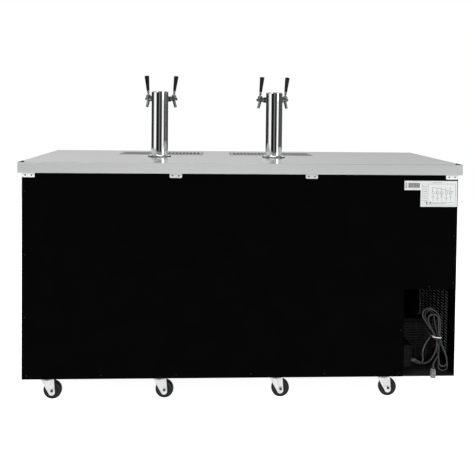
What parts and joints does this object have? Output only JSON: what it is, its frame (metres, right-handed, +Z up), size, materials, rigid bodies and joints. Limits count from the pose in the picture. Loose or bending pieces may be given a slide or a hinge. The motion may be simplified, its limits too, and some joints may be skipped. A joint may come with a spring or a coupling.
{
  "type": "kegerator",
  "caption": "Wide insulated beer dispenser on casters with a stainless worktop, draught towers with taps, drip trays, front doors and an open machine bay holding its tied mains lead.",
  "frame": {"origin": "on the floor under the middle of the worktop", "axes": "+X along the width, away from the machine bay; +Y to the back; +Z up; the doors face -Y"},
  "size_m": [1.839, 0.712, 1.3766],
  "materials": {
    "black_skin": "satin",
    "galvanized": "satin",
    "foam": "matte",
    "liner_sheet": "satin",
    "breaker_plastic": "matte",
    "worktop_steel": "satin",
    "zinc_plate": "satin",
    "polished_steel": "polished",
    "polished_chrome": "polished",
    "compressor_paint": "satin",
    "coil_metal": "satin",
    "fan_plastic": "satin",
    "copper": "satin",
    "box_plastic": "matte",
    "grate_steel": "satin",
    "cord_jacket": "satin",
    "plug_cover": "gloss",
    "wheel_rubber": "satin",
    "door_plastic": "satin",
    "gasket_rubber": "matte",
    "lock_metal": "polished",
    "handle_plastic": "gloss"
  },
  "bodies": {
    "cabinet": {"rear_panel": "black_skin", "box_side_skins": "black_skin", "side_panel_vented": "black_skin", "base_pan": "galvanized", "foam_insulation": "foam", "inner_liner": "liner_sheet", "front_frame": "breaker_plastic", "countertop": "worktop_steel", "top_brackets": "zinc_plate", "door_hinges": "zinc_plate", "front_grille": "black_skin", "caster_plates": "zinc_plate", "tower_columns": "polished_steel", "tower_caps": "polished_steel", "faucets": "polished_chrome", "compressor": "compressor_paint", "condenser": "coil_metal", "refrigerant_lines": "copper", "electrical_box": "box_plastic", "evaporator": "coil_metal", "drip_trays": "worktop_steel", "cord_lead": "cord_jacket", "cord_hank": "cord_jacket", "cord_plug": "plug_cover"},
    "door_1": {"door_skin_1": "black_skin", "door_liner_1": "door_plastic", "door_gasket_1": "gasket_rubber"},
    "lock_1": {"door_lock_1": "lock_metal"},
    "door_2": {"door_skin_2": "black_skin", "door_liner_2": "door_plastic", "door_gasket_2": "gasket_rubber"},
    "lock_2": {"door_lock_2": "lock_metal"},
    "door_3": {"door_skin_3": "black_skin", "door_liner_3": "door_plastic", "door_gasket_3": "gasket_rubber"},
    "lock_3": {"door_lock_3": "lock_metal"},
    "fork_1": {"caster_fork_1": "zinc_plate"},
    "wheel_1": {"caster_wheel_1": "wheel_rubber"},
    "fork_2": {"caster_fork_2": "zinc_plate"},
    "wheel_2": {"caster_wheel_2": "wheel_rubber"},
    "fork_3": {"caster_fork_3": "zinc_plate"},
    "wheel_3": {"caster_wheel_3": "wheel_rubber"},
    "fork_4": {"caster_fork_4": "zinc_plate"},
    "wheel_4": {"caster_wheel_4": "wheel_rubber"},
    "fork_5": {"caster_fork_5": "zinc_plate"},
    "wheel_5": {"caster_wheel_5": "wheel_rubber"},
    "fork_6": {"caster_fork_6": "zinc_plate"},
    "wheel_6": {"caster_wheel_6": "wheel_rubber"},
    "fork_7": {"caster_fork_7": "zinc_plate"},
    "wheel_7": {"caster_wheel_7": "wheel_rubber"},
    "fork_8": {"caster_fork_8": "zinc_plate"},
    "wheel_8": {"caster_wheel_8": "wheel_rubber"},
    "lever_1": {"tap_lever_1": "handle_plastic"},
    "lever_2": {"tap_lever_2": "handle_plastic"},
    "lever_3": {"tap_lever_3": "handle_plastic"},
    "lever_4": {"tap_lever_4": "handle_plastic"},
    "coil_fan": {"condenser_fan": "fan_plastic"},
    "evap_fan": {"evaporator_fan": "fan_plastic"},
    "grate_1": {"drip_grate_1": "grate_steel"},
    "grate_2": {"drip_grate_2": "grate_steel"}
  },
  "joints": [
    {"name": "door_1_hinge", "type": "hinge", "parent": "cabinet", "child": "door_1", "pos_m": [-0.67, -0.3355, 0.5375], "axis": [0, 0, -1], "range_deg": [0, 100]},
    {"name": "lock_1_turn", "type": "hinge", "parent": "door_1", "child": "lock_1", "pos_m": [-0.21633, -0.3455, 0.905], "axis": [0, -1, 0], "range_deg": [0, 90]},
    {"name": "door_2_hinge", "type": "hinge", "parent": "cabinet", "child": "door_2", "pos_m": [-0.14033, -0.3355, 0.5375], "axis": [0, 0, -1], "range_deg": [0, 100]},
    {"name": "lock_2_turn", "type": "hinge", "parent": "door_2", "child": "lock_2", "pos_m": [0.31333, -0.3455, 0.905], "axis": [0, -1, 0], "range_deg": [0, 90]},
    {"name": "door_3_hinge", "type": "hinge", "parent": "cabinet", "child": "door_3", "pos_m": [0.38933, -0.3355, 0.5375], "axis": [0, 0, -1], "range_deg": [0, 100]},
    {"name": "lock_3_turn", "type": "hinge", "parent": "door_3", "child": "lock_3", "pos_m": [0.843, -0.3455, 0.905], "axis": [0, -1, 0], "range_deg": [0, 90]},
    {"name": "caster_1_swivel", "type": "hinge", "parent": "cabinet", "child": "fork_1", "pos_m": [0.81, 0.286, 0.086], "axis": [0, 0, 1], "continuous": true},
    {"name": "wheel_1_roll", "type": "hinge", "parent": "fork_1", "child": "wheel_1", "pos_m": [0.79, 0.286, 0.0381], "axis": [0, 1, 0], "continuous": true},
    {"name": "caster_2_swivel", "type": "hinge", "parent": "cabinet", "child": "fork_2", "pos_m": [0.342, 0.286, 0.086], "axis": [0, 0, 1], "continuous": true},
    {"name": "wheel_2_roll", "type": "hinge", "parent": "fork_2", "child": "wheel_2", "pos_m": [0.322, 0.286, 0.0381], "axis": [0, 1, 0], "continuous": true},
    {"name": "caster_3_swivel", "type": "hinge", "parent": "cabinet", "child": "fork_3", "pos_m": [-0.15, 0.286, 0.086], "axis": [0, 0, 1], "continuous": true},
    {"name": "wheel_3_roll", "type": "hinge", "parent": "fork_3", "child": "wheel_3", "pos_m": [-0.17, 0.286, 0.0381], "axis": [0, 1, 0], "continuous": true},
    {"name": "caster_4_swivel", "type": "hinge", "parent": "cabinet", "child": "fork_4", "pos_m": [-0.612, 0.286, 0.086], "axis": [0, 0, 1], "continuous": true},
    {"name": "wheel_4_roll", "type": "hinge", "parent": "fork_4", "child": "wheel_4", "pos_m": [-0.632, 0.286, 0.0381], "axis": [0, 1, 0], "continuous": true},
    {"name": "caster_5_swivel", "type": "hinge", "parent": "cabinet", "child": "fork_5", "pos_m": [0.81, -0.236, 0.086], "axis": [0, 0, 1], "continuous": true},
    {"name": "wheel_5_roll", "type": "hinge", "parent": "fork_5", "child": "wheel_5", "pos_m": [0.79, -0.236, 0.0381], "axis": [0, 1, 0], "continuous": true},
    {"name": "caster_6_swivel", "type": "hinge", "parent": "cabinet", "child": "fork_6", "pos_m": [0.342, -0.236, 0.086], "axis": [0, 0, 1], "continuous": true},
    {"name": "wheel_6_roll", "type": "hinge", "parent": "fork_6", "child": "wheel_6", "pos_m": [0.322, -0.236, 0.0381], "axis": [0, 1, 0], "continuous": true},
    {"name": "caster_7_swivel", "type": "hinge", "parent": "cabinet", "child": "fork_7", "pos_m": [-0.15, -0.236, 0.086], "axis": [0, 0, 1], "continuous": true},
    {"name": "wheel_7_roll", "type": "hinge", "parent": "fork_7", "child": "wheel_7", "pos_m": [-0.17, -0.236, 0.0381], "axis": [0, 1, 0], "continuous": true},
    {"name": "caster_8_swivel", "type": "hinge", "parent": "cabinet", "child": "fork_8", "pos_m": [-0.612, -0.236, 0.086], "axis": [0, 0, 1], "continuous": true},
    {"name": "wheel_8_roll", "type": "hinge", "parent": "fork_8", "child": "wheel_8", "pos_m": [-0.632, -0.236, 0.0381], "axis": [0, 1, 0], "continuous": true},
    {"name": "lever_1_pull", "type": "hinge", "parent": "cabinet", "child": "lever_1", "pos_m": [0.43072, -0.06994, 1.282], "axis": [0.788, 0.6157, 0], "range_deg": [0, 30]},
    {"name": "lever_2_pull", "type": "hinge", "parent": "cabinet", "child": "lever_2", "pos_m": [0.31128, -0.06994, 1.282], "axis": [0.788, -0.6157, 0], "range_deg": [0, 30]},
    {"name": "lever_3_pull", "type": "hinge", "parent": "cabinet", "child": "lever_3", "pos_m": [-0.09928, -0.06994, 1.282], "axis": [0.788, 0.6157, 0], "range_deg": [0, 30]},
    {"name": "lever_4_pull", "type": "hinge", "parent": "cabinet", "child": "lever_4", "pos_m": [-0.21872, -0.06994, 1.282], "axis": [0.788, -0.6157, 0], "range_deg": [0, 30]},
    {"name": "coil_fan_spin", "type": "hinge", "parent": "cabinet", "child": "coil_fan", "pos_m": [-0.778, 0.128, 0.21], "axis": [0, 1, 0], "continuous": true},
    {"name": "evap_fan_spin", "type": "hinge", "parent": "cabinet", "child": "evap_fan", "pos_m": [0.176, 0.139, 0.896], "axis": [0, 1, 0], "continuous": true},
    {"name": "grate_1_lift", "type": "slide", "parent": "cabinet", "child": "grate_1", "axis": [0, 0, 1], "range_m": [0, 0.1]},
    {"name": "grate_2_lift", "type": "slide", "parent": "cabinet", "child": "grate_2", "axis": [0, 0, 1], "range_m": [0, 0.1]}
  ]
}
